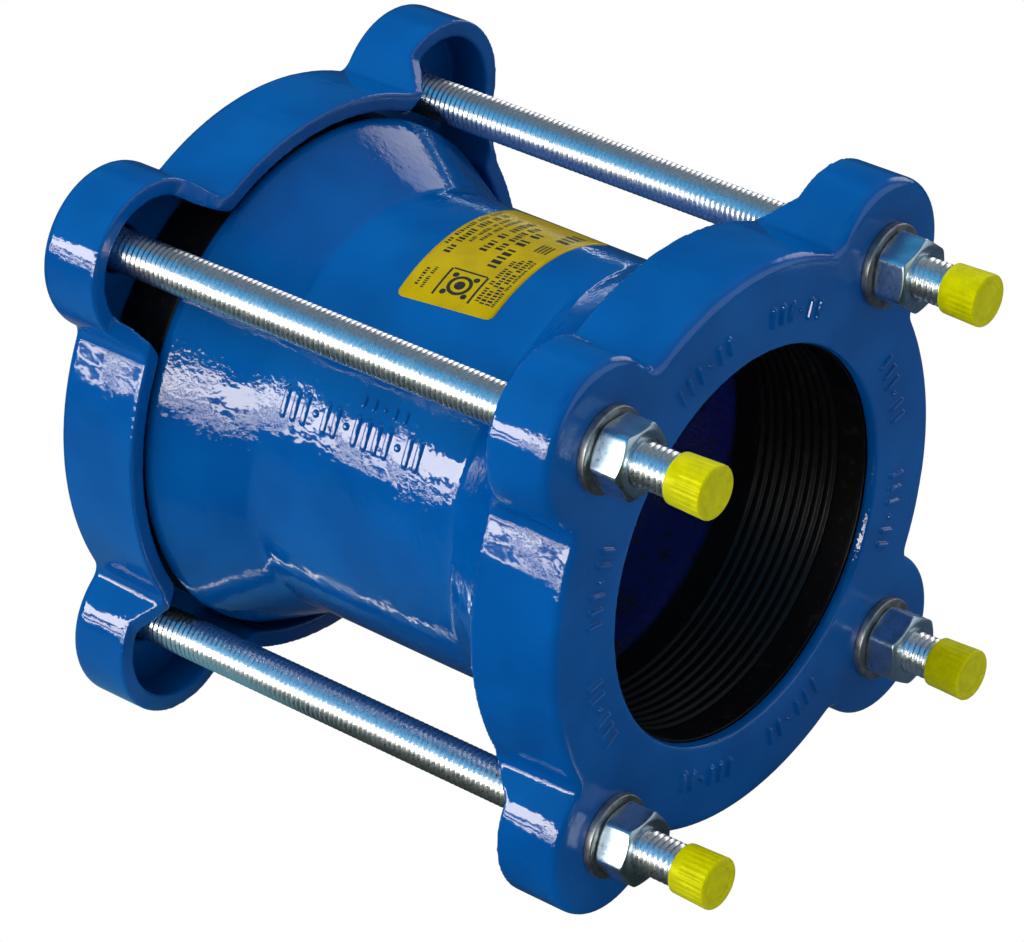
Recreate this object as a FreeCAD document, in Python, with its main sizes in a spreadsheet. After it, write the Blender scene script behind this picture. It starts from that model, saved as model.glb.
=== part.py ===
# Universal pipe coupling for DN 80 pipes: a cast sleeve, two cast glands that squeeze wedge-shaped
# rubber gaskets into its bell mouths, and four full-thread bolts with nuts, washers and thread caps.
# Millimetres. +X runs along the pipe towards the nuts' end, +Z is up, and the origin is the centre of
# the whole coupling's box. Places are first given from the sleeve's middle.
import FreeCAD, Part
import math
import os

import Sketcher

doc = FreeCAD.newDocument("pipe_coupling")

# Driving dimensions, one named value each.
driving = [
    ("sleeve_length", 127.0),
    ("barrel_radius", 62.0),
    ("barrel_wall", 5.5),
    ("bell_radius", 74.8),
    ("bell_depth", 28.0),
    ("bell_land", 3.0),
    ("bell_wall", 5.3),
    ("seat_depth", 26.0),
    ("bell_neck_round", 4.0),
    ("gasket_bore_step", 0.5),
    ("gasket_head_length", 17.0),
    ("gasket_head_inset", 1.4),
    ("gasket_nose_length", 23.5),
    ("gasket_front_band", 9.0),
    ("rib_pitch", 3.1),
    ("rib_count", 9),
    ("rib_depth", 0.9),
    ("soft_gap", 0.3),
    ("gland_plate", 7.0),
    ("gland_lip", 3.0),
    ("gland_hole_gap", 0.2),
    ("gland_mouth_flare", 0.9),
    ("gland_seat_rise", 8.0),
    ("skirt_depth", 28.0),
    ("skirt_wall", 5.2),
    ("skirt_gap", 2.5),
    ("skirt_draft", 0.6),
    ("bolt_standoff", 7.2),
    ("lobe_radius", 23.8),
    ("lobe_wall", 5.0),
    ("lobe_depth", 20.0),
    ("face_rim_round", 3.0),
    ("lobe_flat_reach", 7.5),
    ("lobe_foot_gap", 0.3),
    ("lobe_root_round", 4.0),
    ("pocket_flare", 3.2),
    ("pocket_corner_round", 4.0),
    ("thread_radius", 6.0),
    ("bolt_reach", 33.0),
    ("bolt_tip_bevel", 1.0),
    ("bolt_hole_gap", 1.0),
    ("head_height", 7.5),
    ("head_bevel", 1.1),
    ("washer_radius", 12.0),
    ("washer_thickness", 2.2),
    ("washer_hole_gap", 0.5),
    ("washer_edge_round", 0.6),
    ("hexagon_width", 19.0),
    ("hexagon_face_radius", 9.1),
    ("nut_height", 10.0),
    ("nut_bevel", 1.1),
    ("thread_gap", 0.05),
    ("cap_length", 13.7),
    ("cap_wall", 1.35),
    ("cap_end_wall", 1.0),
    ("cap_end_gap", 0.2),
    ("cap_edge_round", 0.7),
    ("cap_dimple_depth", 0.35),
    ("cap_dimple_rim", 2.2),
    ("label_length", 52.0),
    ("label_width", 30.0),
    ("label_thickness", 0.2),
    ("label_corner", 3.0),
    ("label_skew", 5.2),
    ("label_shift", 3.2),
    ("shift_upper_left", 1.0),
    ("shift_upper_right", -1.0),
    ("shift_lower_left", 2.0),
    ("shift_lower_right", -2.0),
    ("turn_upper_left", 0.0),
    ("turn_upper_right", 20.0),
    ("turn_lower_left", 5.0),
    ("turn_lower_right", 26.0),
    ("head_turn", 17.0),
]

# Places and sizes that follow from them.
following = [
    ("half_sleeve", "=sizes.sleeve_length / 2"),
    ("barrel_bore", "=sizes.barrel_radius - sizes.barrel_wall"),
    ("gasket_bore", "=barrel_bore - sizes.gasket_bore_step"),
    ("bell_mouth", "=sizes.bell_radius - sizes.bell_wall"),
    ("head_radius", "=sizes.bell_radius - sizes.gasket_head_inset"),
    ("head_front", "=sizes.soft_gap + sizes.gasket_head_length"),
    ("face_place", "=half_sleeve + head_front + sizes.soft_gap + sizes.gland_plate"),
    ("hole_radius", "=gasket_bore + sizes.gland_hole_gap"),
    ("seat_radius", "=hole_radius + sizes.gland_seat_rise"),
    ("cavity_radius", "=sizes.bell_radius + sizes.skirt_gap"),
    ("ring_radius", "=cavity_radius + sizes.skirt_wall"),
    ("ring_front_radius", "=ring_radius - sizes.skirt_draft"),
    ("bolt_radius", "=cavity_radius + sizes.bolt_standoff"),
    ("bolt_offset", "=bolt_radius / sqrt(2)"),
    ("pocket_radius", "=sizes.lobe_radius - sizes.lobe_wall"),
    ("bolt_tip", "=face_place + sizes.bolt_reach"),
    ("hexagon_corner", "=sizes.hexagon_width / sqrt(3)"),
    ("cap_bore", "=sizes.thread_radius + sizes.thread_gap"),
    ("cap_radius", "=cap_bore + sizes.cap_wall"),
    ("cap_crown", "=bolt_tip + sizes.cap_end_gap + sizes.cap_end_wall"),
    ("longest_shift", "=max(sizes.shift_upper_left; sizes.shift_upper_right; "
                      "sizes.shift_lower_left; sizes.shift_lower_right)"),
    ("box_middle", "=(cap_crown + longest_shift - face_place - sizes.head_height) / 2"),
]


def fill_sheet(name, cells):
    sheet = doc.addObject("Spreadsheet::Sheet", name)
    for row, (alias, content) in enumerate(cells, start=1):
        sheet.set("A%d" % row, alias)
        sheet.set("B%d" % row, str(content))
        sheet.setAlias("B%d" % row, alias)
    doc.recompute()
    return sheet


sizes = fill_sheet("sizes", driving)
places = fill_sheet("places", following)


def origin_plane(body, role):
    return next(item for item in body.Origin.OriginFeatures if item.Role == role)


def new_body(name):
    body = doc.addObject("PartDesign::Body", name)
    body.Label = name
    return body


def new_sketch(body, name, role):
    sketch = body.newObject("Sketcher::SketchObject", name)
    sketch.AttachmentSupport = [(origin_plane(body, role), "")]
    sketch.MapMode = "FlatFace"
    return sketch


def place_point(sketch, geometry, end, x, y):
    """Ties a point of the sketch to two expressions, measured from the sketch's origin."""
    for kind, expression in (("DistanceX", x), ("DistanceY", y)):
        index = sketch.addConstraint(Sketcher.Constraint(kind, -1, 1, geometry, end, 1.0))
        sketch.setExpression("Constraints[%d]" % index, expression)


def add_outline(sketch, corners):
    """A closed outline of straight lines through corners given as pairs of expressions."""
    count = len(corners)
    first = sketch.GeometryCount
    ring = []
    for step in range(count):
        angle = 2 * math.pi * step / count
        ring.append(FreeCAD.Vector(10 + math.cos(angle), 10 + math.sin(angle), 0))
    for step in range(count):
        sketch.addGeometry(Part.LineSegment(ring[step], ring[(step + 1) % count]))
    for step in range(count):
        following_line = first + (step + 1) % count
        sketch.addConstraint(Sketcher.Constraint("Coincident", first + step, 2, following_line, 1))
    for step, (x, y) in enumerate(corners):
        place_point(sketch, first + step, 1, x, y)
    return first


def add_circle(sketch, x, y, radius):
    circle = Part.Circle(FreeCAD.Vector(10, 10, 0), FreeCAD.Vector(0, 0, 1), 5)
    index = sketch.addGeometry(circle)
    place_point(sketch, index, 3, x, y)
    size = sketch.addConstraint(Sketcher.Constraint("Radius", index, 5.0))
    sketch.setExpression("Constraints[%d]" % size, radius)
    return index


def revolve(body, name, sketch, kind="PartDesign::Revolution"):
    """Turns a sketch of the XZ plane about the body's own X axis."""
    feature = body.newObject(kind, name)
    feature.Profile = sketch
    feature.ReferenceAxis = (sketch, ["H_Axis"])
    feature.Angle = 360
    doc.recompute()
    return feature


def pad(body, name, sketch, length, midplane=False):
    feature = body.newObject("PartDesign::Pad", name)
    feature.Profile = sketch
    feature.setExpression("Length", length)
    feature.Midplane = midplane
    doc.recompute()
    return feature


def cut_through(body, name, sketch):
    """A pocket through everything on the +X side of the sketch; it has to take material away."""
    before = body.Shape.Volume
    feature = body.newObject("PartDesign::Pocket", name)
    feature.Profile = sketch
    feature.Type = "ThroughAll"
    feature.Reversed = True
    doc.recompute()
    if body.Shape.Volume >= before:
        raise ValueError(name + " cuts nothing")
    return feature


def repeat_round(body, name, features, count=4):
    pattern = body.newObject("PartDesign::PolarPattern", name)
    pattern.Originals = features
    pattern.Axis = (origin_plane(body, "X_Axis"), [""])
    pattern.Angle = 360
    pattern.Occurrences = count
    body.Tip = pattern
    doc.recompute()
    return pattern


def edge_names(shape, wanted):
    """Names of the edges whose middle point and direction pass the test."""
    names = []
    for number, edge in enumerate(shape.Edges, start=1):
        middle = edge.valueAt((edge.FirstParameter + edge.LastParameter) / 2)
        if wanted(edge, middle):
            names.append("Edge%d" % number)
    return names


def dress(body, kind, name, wanted, size_name, expression):
    base = body.Tip
    feature = body.newObject(kind, name)
    feature.Base = (base, edge_names(base.Shape, wanted))
    feature.setExpression(size_name, expression)
    body.Tip = feature
    doc.recompute()
    return feature


def set_place(part, x, y="0", z="0", rotation=FreeCAD.Rotation()):
    """Placement of a sub-part, x from the sleeve's middle: its base is bound, its turn given once."""
    part.Placement = FreeCAD.Placement(FreeCAD.Vector(), rotation)
    part.setExpression("Placement.Base.x", x + " - places.box_middle")
    part.setExpression("Placement.Base.y", y)
    part.setExpression("Placement.Base.z", z)


# The four bolts' places as seen from the front end: signs of Y and Z.
corners = {
    "upper_left": (-1, 1),
    "upper_right": (1, 1),
    "lower_left": (-1, -1),
    "lower_right": (1, -1),
}
along_x = FreeCAD.Vector(1, 0, 0)
half_turn = FreeCAD.Rotation(FreeCAD.Vector(0, 0, 1), 180)
# How far a cutting outline reaches past the material that it cuts.
overcut = "1"
# Two places that are closer than this count as the same.
same_place = 0.01


def corner_place(corner):
    across, up = corners[corner]
    return "%d * places.bolt_offset" % across, "%d * places.bolt_offset" % up


def end_place(part, side, x, y="0", z="0"):
    """Puts a piece whose own +X points outwards at the front end, or turned round at the rear."""
    if side == "front":
        set_place(part, x, y, z)
    else:
        set_place(part, "-(" + x + ")", y, z, half_turn)


def make_sleeve():
    """Turned profile: barrel between two bells, each with a conical seat for the gasket's nose."""
    body = new_body("sleeve_body")
    profile = new_sketch(body, "sleeve_profile", "XZ_Plane")
    end = "places.half_sleeve"
    land = end + " - sizes.bell_land"
    neck = end + " - sizes.bell_depth"
    throat = end + " - sizes.seat_depth"
    half = [
        (throat, "places.barrel_bore"),
        (end, "places.bell_mouth"),
        (end, "sizes.bell_radius"),
        (land, "sizes.bell_radius"),
        (neck, "sizes.barrel_radius"),
    ]
    mirrored = [("-(" + x + ")", radius) for x, radius in reversed(half)]
    add_outline(profile, half + mirrored)
    revolve(body, "sleeve_turned", profile)
    neck_at = places.half_sleeve - sizes.bell_depth

    def at_neck(edge, middle):
        radius = math.hypot(middle.y, middle.z)
        on_barrel = abs(radius - sizes.barrel_radius) < same_place
        return on_barrel and abs(abs(middle.x) - neck_at) < same_place

    dress(body, "PartDesign::Fillet", "neck_fillets", at_neck, "Radius", "sizes.bell_neck_round")
    set_place(body, "0")
    return body


def make_gasket(side):
    """Wedge gasket: a thick head between gland and bell, a nose down the bell's seat, ribbed bore."""
    body = new_body("gasket_" + side)
    profile = new_sketch(body, "gasket_profile_" + side, "XZ_Plane")
    bore = "places.gasket_bore"
    front = "places.head_front"
    seat_slope = "(sizes.gland_plate - sizes.gland_lip) / sizes.gland_seat_rise"
    lip = front + " + " + seat_slope + " * (places.seat_radius - " + bore + ")"
    fall = "(places.bell_mouth - places.barrel_bore) / sizes.seat_depth"
    shoulder = "places.bell_mouth - sizes.soft_gap"
    tip = shoulder + " - " + fall + " * sizes.gasket_nose_length"
    add_outline(profile, [
        ("-sizes.gasket_nose_length", bore),
        (lip, bore),
        (front, "places.seat_radius"),
        (front, "places.head_radius"),
        ("sizes.soft_gap", "places.head_radius"),
        ("sizes.soft_gap", shoulder),
        ("-sizes.gasket_nose_length", tip),
    ])
    revolve(body, "gasket_turned_" + side, profile)
    groove_sketch = new_sketch(body, "rib_valley_" + side, "XZ_Plane")
    start = lip + " - sizes.gasket_front_band"
    inside = bore + " - " + overcut
    add_outline(groove_sketch, [
        (start, inside),
        (start, bore),
        (start + " - sizes.rib_pitch / 3", bore + " + sizes.rib_depth"),
        (start + " - sizes.rib_pitch * 2 / 3", bore),
        (start + " - sizes.rib_pitch * 2 / 3", inside),
    ])
    before = body.Shape.Volume
    valley = revolve(body, "rib_valley_cut_" + side, groove_sketch, "PartDesign::Groove")
    if body.Shape.Volume >= before:
        raise ValueError("the rib valley cuts nothing")
    ribs = body.newObject("PartDesign::LinearPattern", "ribs_" + side)
    ribs.Originals = [valley]
    ribs.Direction = (origin_plane(body, "X_Axis"), [""])
    ribs.Reversed = True
    ribs.setExpression("Length", "sizes.rib_pitch * (sizes.rib_count - 1)")
    ribs.setExpression("Occurrences", "sizes.rib_count")
    body.Tip = ribs
    end_place(body, side, "places.half_sleeve")
    return body


def bend(sketch, segment, level):
    """Turns a straight segment of an outline into an outward arc with its centre at a given height."""
    doc.recompute()
    line = sketch.Geometry[segment]
    begin, finish = line.StartPoint, line.EndPoint
    middle = (begin + finish) * 0.5
    heart = FreeCAD.Vector()
    for item in sketch.Geometry:
        heart += item.StartPoint / sketch.GeometryCount
    outward = FreeCAD.Vector(begin.y - finish.y, finish.x - begin.x, 0).normalize()
    if outward.dot(middle - heart) < 0:
        outward = -outward
    centre = middle + outward * ((sketch.evalExpression(level) - middle.y) / outward.y)
    crest = centre + outward * (begin - centre).Length
    arc = sketch.addGeometry(Part.Arc(begin, crest, finish))
    sketch.setConstruction(segment, True)
    arc_begin = 1 if (sketch.Geometry[arc].StartPoint - begin).Length < 1e-6 else 2
    sketch.addConstraint(Sketcher.Constraint("Coincident", arc, arc_begin, segment, 1))
    sketch.addConstraint(Sketcher.Constraint("Coincident", arc, 3 - arc_begin, segment, 2))
    index = sketch.addConstraint(Sketcher.Constraint("DistanceY", -1, 1, arc, 3, centre.y))
    sketch.setExpression("Constraints[%d]" % index, level)


def make_gland(side):
    """Cast end ring in its own frame: face at X = 0, skirt towards +X, one lobe straight up."""
    body = new_body("gland_" + side)
    hole = "places.hole_radius"
    axis = "places.bolt_radius"
    depth = "sizes.skirt_depth"

    ring = new_sketch(body, "ring_profile_" + side, "XZ_Plane")
    add_outline(ring, [
        ("0", hole + " + sizes.gland_mouth_flare"),
        ("sizes.gland_lip", hole),
        (depth, hole),
        (depth, "places.ring_radius"),
        ("0", "places.ring_front_radius"),
    ])
    revolve(body, "ring_" + side, ring)

    lobe_sketch = new_sketch(body, "lobe_profile_" + side, "XZ_Plane")
    crown = axis + " + sizes.lobe_radius"
    add_outline(lobe_sketch, [("0", axis), ("0", crown), (depth, crown), (depth, axis)])
    lobe = body.newObject("PartDesign::Revolution", "lobe_" + side)
    lobe.Profile = lobe_sketch
    lobe.ReferenceAxis = (lobe_sketch, ["Edge4"])
    lobe.Angle = 360
    doc.recompute()
    repeat_round(body, "lobes_" + side, [lobe])

    def off_bolt(point):
        turn = round(math.degrees(math.atan2(point.z, point.y)) / 90) * 90
        across = point.y - places.bolt_radius * math.cos(math.radians(turn))
        up = point.z - places.bolt_radius * math.sin(math.radians(turn))
        return math.hypot(across, up)

    def lobe_root(edge, middle):
        radius = math.hypot(middle.y, middle.z)
        along = edge.BoundBox.XLength > sizes.skirt_depth / 2
        on_ring = places.ring_front_radius - same_place < radius < places.ring_radius + same_place
        return along and on_ring and abs(off_bolt(middle) - sizes.lobe_radius) < same_place

    dress(body, "PartDesign::Fillet", "lobe_roots_" + side, lobe_root, "Radius", "sizes.lobe_root_round")

    def face_rim(edge, middle):
        radius = math.hypot(middle.y, middle.z)
        on_face = edge.BoundBox.XLength < same_place and abs(middle.x) < same_place
        return on_face and radius > places.seat_radius

    dress(body, "PartDesign::Fillet", "face_rim_" + side, face_rim, "Radius", "sizes.face_rim_round")

    ramp = new_sketch(body, "lobe_ramp_profile_" + side, "XZ_Plane")
    past = depth + " + " + overcut
    beyond = crown + " + " + overcut
    foot = "places.ring_radius + sizes.lobe_foot_gap"
    add_outline(ramp, [
        ("sizes.lobe_depth", beyond),
        ("sizes.lobe_depth", axis + " + sizes.lobe_flat_reach"),
        (depth, foot),
        (past, foot),
        (past, beyond),
    ])
    revolve(body, "lobe_ramp_" + side, ramp, "PartDesign::Groove")

    cavity = new_sketch(body, "cavity_profile_" + side, "XZ_Plane")
    inside_hole = hole + " - " + overcut
    add_outline(cavity, [
        ("sizes.gland_lip", inside_hole),
        ("sizes.gland_lip", hole),
        ("sizes.gland_plate", "places.seat_radius"),
        ("sizes.gland_plate", "places.cavity_radius"),
        (past, "places.cavity_radius"),
        (past, inside_hole),
    ])
    revolve(body, "cavity_" + side, cavity, "PartDesign::Groove")

    pocket = new_sketch(body, "pocket_outline_" + side, "YZ_Plane")
    pocket.setExpression("AttachmentOffset.Base.z", "sizes.gland_plate")
    width = "places.pocket_radius"
    mouth = "(places.pocket_radius + sizes.pocket_flare)"
    level = "sqrt((places.cavity_radius - " + overcut + ") ^ 2 - " + mouth + " ^ 2)"
    add_outline(pocket, [
        (width, axis),
        ("-" + width, axis),
        ("-" + mouth, level),
        (mouth, level),
    ])
    bend(pocket, 0, axis)
    hollow = cut_through(body, "pocket_" + side, pocket)
    repeat_round(body, "pockets_" + side, [hollow])

    def pocket_corner(edge, middle):
        upright = edge.BoundBox.XLength > sizes.skirt_depth / 2
        reach = math.hypot(middle.y, middle.z)
        return upright and abs(reach - places.cavity_radius) < same_place

    dress(body, "PartDesign::Fillet", "pocket_corners_" + side, pocket_corner,
          "Radius", "sizes.pocket_corner_round")

    drilling = new_sketch(body, "bolt_hole_circle_" + side, "YZ_Plane")
    add_circle(drilling, "0", axis, "sizes.thread_radius + sizes.bolt_hole_gap")
    bore = cut_through(body, "bolt_hole_" + side, drilling)
    repeat_round(body, "bolt_holes_" + side, [bore])

    quarter = FreeCAD.Rotation(along_x, 45)
    if side == "front":
        set_place(body, "places.face_place", rotation=half_turn.multiply(quarter))
    else:
        set_place(body, "-places.face_place", rotation=quarter)
    return body


def add_hexagon(sketch):
    across, half_across = "places.hexagon_corner", "places.hexagon_corner / 2"
    flat = "sizes.hexagon_width / 2"
    add_outline(sketch, [
        (across, "0"),
        (half_across, flat),
        ("-" + half_across, flat),
        ("-" + across, "0"),
        ("-" + half_across, "-" + flat),
        (half_across, "-" + flat),
    ])


def bevel_hexagon(body, name, faces):
    """Turns the corners down on each face, given as its place and where the bevel ends."""
    profile = new_sketch(body, name + "_profile", "XZ_Plane")
    across = "places.hexagon_corner"
    outside = across + " + " + overcut
    for face, bevel_end in faces:
        add_outline(profile, [
            (face, "sizes.hexagon_face_radius"),
            (face, outside),
            (bevel_end, outside),
            (bevel_end, across),
        ])
    before = body.Shape.Volume
    revolve(body, name, profile, "PartDesign::Groove")
    if body.Shape.Volume >= before:
        raise ValueError(name + " cuts nothing")


def corner_turn(corner, more=0.0):
    return FreeCAD.Rotation(along_x, getattr(sizes, "turn_" + corner) + more)


def make_bolt(corner):
    """Hexagon bolt with its head on the rear gland; its thread is left plain at the crest diameter."""
    body = new_body("bolt_" + corner)
    section = new_sketch(body, "shank_section_" + corner, "YZ_Plane")
    add_circle(section, "0", "0", "sizes.thread_radius")
    pad(body, "shank_" + corner, section, "places.face_place + places.bolt_tip + sizes.shift_" + corner)

    def tip_rim(edge, middle):
        return edge.Closed and middle.x > places.face_place

    dress(body, "PartDesign::Chamfer", "tip_bevel_" + corner, tip_rim, "Size", "sizes.bolt_tip_bevel")
    hexagon = new_sketch(body, "head_hexagon_" + corner, "YZ_Plane")
    add_hexagon(hexagon)
    head = pad(body, "head_" + corner, hexagon, "sizes.head_height")
    head.Reversed = True
    doc.recompute()
    bevel_hexagon(body, "head_bevel_" + corner,
                  [("-sizes.head_height", "-(sizes.head_height - sizes.head_bevel)")])
    y, z = corner_place(corner)
    set_place(body, "-places.face_place", y, z, corner_turn(corner, sizes.head_turn))
    return body


def make_washer(corner):
    body = new_body("washer_" + corner)
    section = new_sketch(body, "washer_section_" + corner, "YZ_Plane")
    add_circle(section, "0", "0", "sizes.washer_radius")
    add_circle(section, "0", "0", "sizes.thread_radius + sizes.washer_hole_gap")
    pad(body, "washer_disc_" + corner, section, "sizes.washer_thickness")

    def outer_rim(edge, middle):
        return edge.Closed and abs(math.hypot(middle.y, middle.z) - sizes.washer_radius) < same_place

    dress(body, "PartDesign::Fillet", "washer_edge_" + corner, outer_rim,
          "Radius", "sizes.washer_edge_round")
    y, z = corner_place(corner)
    set_place(body, "places.face_place", y, z)
    return body


def make_nut(corner):
    """Hexagon nut, its corners turned down on both faces."""
    body = new_body("nut_" + corner)
    hexagon = new_sketch(body, "nut_hexagon_" + corner, "YZ_Plane")
    add_hexagon(hexagon)
    add_circle(hexagon, "0", "0", "sizes.thread_radius + sizes.thread_gap")
    pad(body, "nut_blank_" + corner, hexagon, "sizes.nut_height")
    bevel_hexagon(body, "nut_bevels_" + corner, [
        ("0", "sizes.nut_bevel"),
        ("sizes.nut_height", "sizes.nut_height - sizes.nut_bevel"),
    ])
    y, z = corner_place(corner)
    set_place(body, "places.face_place + sizes.washer_thickness", y, z, corner_turn(corner))
    return body


def make_cap(corner):
    """Closed push-on cap over a bolt's tip."""
    body = new_body("cap_" + corner)
    profile = new_sketch(body, "cap_profile_" + corner, "XZ_Plane")
    end = "sizes.cap_length"
    inner_end = end + " - sizes.cap_end_wall"
    floor = end + " - sizes.cap_dimple_depth"
    rim = "places.cap_radius - sizes.cap_dimple_rim"
    add_outline(profile, [
        ("0", "places.cap_bore"),
        ("0", "places.cap_radius"),
        (end, "places.cap_radius"),
        (end, rim),
        (floor, rim + " - sizes.cap_dimple_depth"),
        (floor, "0"),
        (inner_end, "0"),
        (inner_end, "places.cap_bore"),
    ])
    revolve(body, "cap_turned_" + corner, profile)

    def outer_rim(edge, middle):
        on_outside = abs(math.hypot(middle.y, middle.z) - places.cap_radius) < same_place
        return on_outside and edge.BoundBox.XLength < same_place

    dress(body, "PartDesign::Fillet", "cap_edges_" + corner, outer_rim, "Radius", "sizes.cap_edge_round")
    y, z = corner_place(corner)
    set_place(body, "places.cap_crown - sizes.cap_length + sizes.shift_" + corner, y, z)
    return body


def make_label():
    """Thin sticker bent round the top of the barrel and stuck on slightly askew."""
    body = new_body("label")
    outline = new_sketch(body, "label_outline", "XY_Plane")
    half_width = "sizes.label_width / 2"
    half_chord = "sizes.barrel_radius * sin(sizes.label_length / sizes.barrel_radius * 90 / pi)"
    askew = "sizes.label_skew"
    around = []
    for along, across in ((1, 1), (-1, 1), (-1, -1), (1, -1)):
        x = "sizes.label_shift + %d * %s * cos(%s)" % (along, half_width, askew)
        x += " - %d * %s * sin(%s)" % (across, half_chord, askew)
        y = "%d * %s * sin(%s)" % (along, half_width, askew)
        y += " + %d * %s * cos(%s)" % (across, half_chord, askew)
        around.append((x, y))
    add_outline(outline, around)
    pad(body, "label_blank", outline, "sizes.barrel_radius + 2 * sizes.label_thickness")

    def upright(edge, middle):
        return edge.BoundBox.ZLength > sizes.barrel_radius / 2

    dress(body, "PartDesign::Fillet", "label_corners", upright, "Radius", "sizes.label_corner")

    bent = new_sketch(body, "label_bend", "XZ_Plane")
    reach = "sizes.sleeve_length / 2"
    skin = "sizes.barrel_radius + sizes.label_thickness"
    levels = (("0", "sizes.barrel_radius"), (skin, "sizes.barrel_radius + sizes.label_width"))
    for low, high in levels:
        add_outline(bent, [("-" + reach, low), (reach, low), (reach, high), ("-" + reach, high)])
    revolve(body, "label_bent", bent, "PartDesign::Groove")
    set_place(body, "0")
    return body


parts = [make_sleeve(), make_label()]
for side in ("front", "rear"):
    parts.append(make_gland(side))
    parts.append(make_gasket(side))
for corner in corners:
    parts.append(make_bolt(corner))
    parts.append(make_washer(corner))
    parts.append(make_nut(corner))
    parts.append(make_cap(corner))
doc.recompute()

for item in doc.Objects:
    if "Invalid" in item.State or "Error" in item.State:
        raise ValueError(item.Name + " does not compute: " + ", ".join(item.State))
for part in parts:
    if part.Shape.isNull() or not part.Shape.isValid() or len(part.Shape.Solids) != 1:
        raise ValueError(part.Label + " is not one sound solid")

os.makedirs("parts", exist_ok=True)
for part in parts:
    part.Shape.exportStep("parts/" + part.Label + ".step")
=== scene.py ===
import math

import bmesh
import bpy
import numpy as np
from mathutils import Matrix


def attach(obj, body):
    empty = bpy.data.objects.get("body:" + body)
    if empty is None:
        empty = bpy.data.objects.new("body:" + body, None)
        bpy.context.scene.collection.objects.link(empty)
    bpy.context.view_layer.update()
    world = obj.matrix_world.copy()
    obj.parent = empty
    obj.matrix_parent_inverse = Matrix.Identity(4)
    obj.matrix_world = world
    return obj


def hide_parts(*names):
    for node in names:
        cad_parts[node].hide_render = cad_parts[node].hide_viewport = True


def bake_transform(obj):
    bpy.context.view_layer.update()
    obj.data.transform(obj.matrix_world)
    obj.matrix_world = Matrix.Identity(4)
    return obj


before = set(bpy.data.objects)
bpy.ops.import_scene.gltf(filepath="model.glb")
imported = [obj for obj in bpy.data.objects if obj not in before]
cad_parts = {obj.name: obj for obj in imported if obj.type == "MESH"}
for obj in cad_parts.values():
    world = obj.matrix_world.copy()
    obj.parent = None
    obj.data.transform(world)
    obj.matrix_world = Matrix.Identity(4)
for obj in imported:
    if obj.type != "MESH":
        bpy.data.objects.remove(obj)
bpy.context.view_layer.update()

# Sizes are in millimetres from the sleeve's middle; metre turns them into the scene's unit.
metre = 0.001
pinhole = 0.05  # turned surfaces stop at this radius round their axis
pinholeEdge = 0.01  # the edges round such a hole are shorter than this, and it is filled
corners = {"upper_left": (-1, 1), "upper_right": (1, 1), "lower_left": (-1, -1), "lower_right": (1, -1)}
sides = {"front": 1, "rear": -1}

# What several pieces share.
coupling = {
    "middle": -14.35,  # the sleeve's middle along X in the row's frame
    "face": 88.1,  # a gland's outer face
    "sleeveEnd": 63.5,
    "barrelRadius": 62.0,
    "boltOffset": 59.75,  # of each bolt from the axis, across and up
    "boltTip": 121.1,
    "shift": {"upper_left": 1.0, "upper_right": -1.0, "lower_left": 2.0, "lower_right": -2.0},  # of each tip
    "washerThickness": 2.2,
    "restHeight": -83.57,  # the floor
}


# An object from points in millimetres and quads of their numbers.
def meshObject(name, points, faces):
    points = np.asarray(points, float) + [coupling["middle"], 0, 0]
    mesh = bpy.data.meshes.new(name)
    mesh.vertices.add(len(points))
    mesh.vertices.foreach_set("co", (points * metre).astype(np.float32).ravel())
    mesh.loops.add(faces.size)
    mesh.loops.foreach_set("vertex_index", faces.ravel().astype(np.int32))
    mesh.polygons.add(len(faces))
    mesh.polygons.foreach_set("loop_start", np.arange(0, faces.size, 4, dtype=np.int32))
    mesh.update(calc_edges=True)
    mesh.validate()
    thing = bpy.data.objects.new(name, mesh)
    bpy.context.scene.collection.objects.link(thing)
    return thing


# Quads of a grid of points stored row by row, joined up where a direction runs round.
def gridFaces(rows, columns, closeRows=False, closeColumns=False):
    down = np.arange(rows if closeRows else rows - 1)[:, None]
    along = np.arange(columns if closeColumns else columns - 1)[None, :]
    nextDown = (down + 1) % rows
    nextAlong = (along + 1) % columns
    quads = [down * columns + along, down * columns + nextAlong,
             nextDown * columns + nextAlong, nextDown * columns + along]
    shape = (down.size, along.size)
    return np.stack([np.broadcast_to(quad, shape) for quad in quads], -1).reshape(-1, 4)


# A path through (x, radius, rounding) corners. Each corner becomes a parabola that begins "rounding"
# before it: (1 - t)^2 begin + 2 t (1 - t) corner + t^2 finish. The straight stretches between are
# split to the step.
def softPath(path, step, closed=True):
    mostOfSide = 0.48  # a rounding takes less than half of a side
    spots = np.array([place[:2] for place in path], float)
    count = len(spots)
    turns = []
    for index in range(count):
        here = spots[index]
        back = spots[index - 1] - here
        ahead = spots[(index + 1) % count] - here
        backSize, aheadSize = np.hypot(*back), np.hypot(*ahead)
        atEnd = not closed and index in (0, count - 1)
        cut = 0 if atEnd else min(path[index][2], mostOfSide * backSize, mostOfSide * aheadSize)
        if cut == 0:
            turns.append(here[None])
            continue
        begin = here + back / backSize * cut
        finish = here + ahead / aheadSize * cut
        t = np.linspace(0, 1, max(4, math.ceil(2 * cut / step) + 1))[:, None]
        turns.append((1 - t) ** 2 * begin + 2 * t * (1 - t) * here + t ** 2 * finish)
    run = []
    for index, turn in enumerate(turns):
        run.append(turn)
        if closed or index < count - 1:
            begin, finish = turn[-1], turns[(index + 1) % count][0]
            parts = int(np.hypot(*(finish - begin)) / step)
            t = np.linspace(0, 1, parts + 2)[1:-1, None]
            run.append(begin + (finish - begin) * t)
    return np.concatenate(run)


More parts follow.
